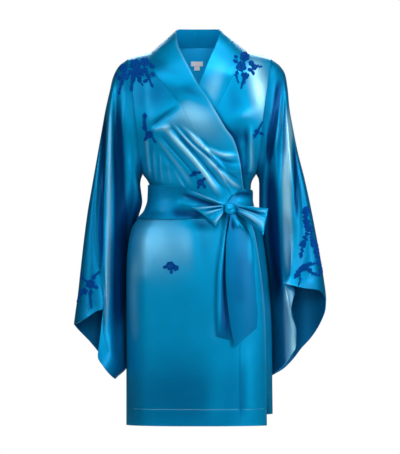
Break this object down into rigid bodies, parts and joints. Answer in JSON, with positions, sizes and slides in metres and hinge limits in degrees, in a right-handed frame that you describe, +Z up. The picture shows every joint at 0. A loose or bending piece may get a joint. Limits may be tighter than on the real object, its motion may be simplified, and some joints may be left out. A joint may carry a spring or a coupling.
{
  "type": "short kimono robe with tied sash",
  "caption": "Short blue silk-satin kimono robe with wide open sleeves, a wrap front, a band collar, a sash tied in a bow and raised lace sprays, filled out as worn.",
  "frame": {"origin": "middle of the shoulder line, level with the neck side of the shoulders, where the wearer holds it up", "axes": "+Z up, -Y the front of the robe, +X the wearer's left"},
  "size_m": [0.5934, 0.2319, 0.931],
  "materials": {
    "satin": "satin",
    "lace": "matte",
    "label": "matte"
  },
  "bodies": {
    "root": {"back": "satin", "belt": "satin", "bow_loop_left": "satin", "bow_loop_right": "satin", "collar_over": "satin", "collar_under": "satin", "front_over": "satin", "front_under": "satin", "knot": "satin", "lace_bust_left": "lace", "lace_bust_right": "lace", "lace_collar_side_left": "lace", "lace_cuff_left_high": "lace", "lace_cuff_left_low": "lace", "lace_cuff_left_side": "lace", "lace_cuff_right": "lace", "lace_shoulder_left": "lace", "lace_shoulder_right": "lace", "lace_skirt": "lace", "lace_sleeve_fold_right": "lace", "lace_sleeve_top_right": "lace", "lace_waist_high": "lace", "lace_waist_low": "lace", "neck_label": "label", "size_tag": "label", "sleeve_left": "satin", "sleeve_right": "satin", "tail_behind": "satin", "tail_front": "satin"}
  },
  "joints": []
}
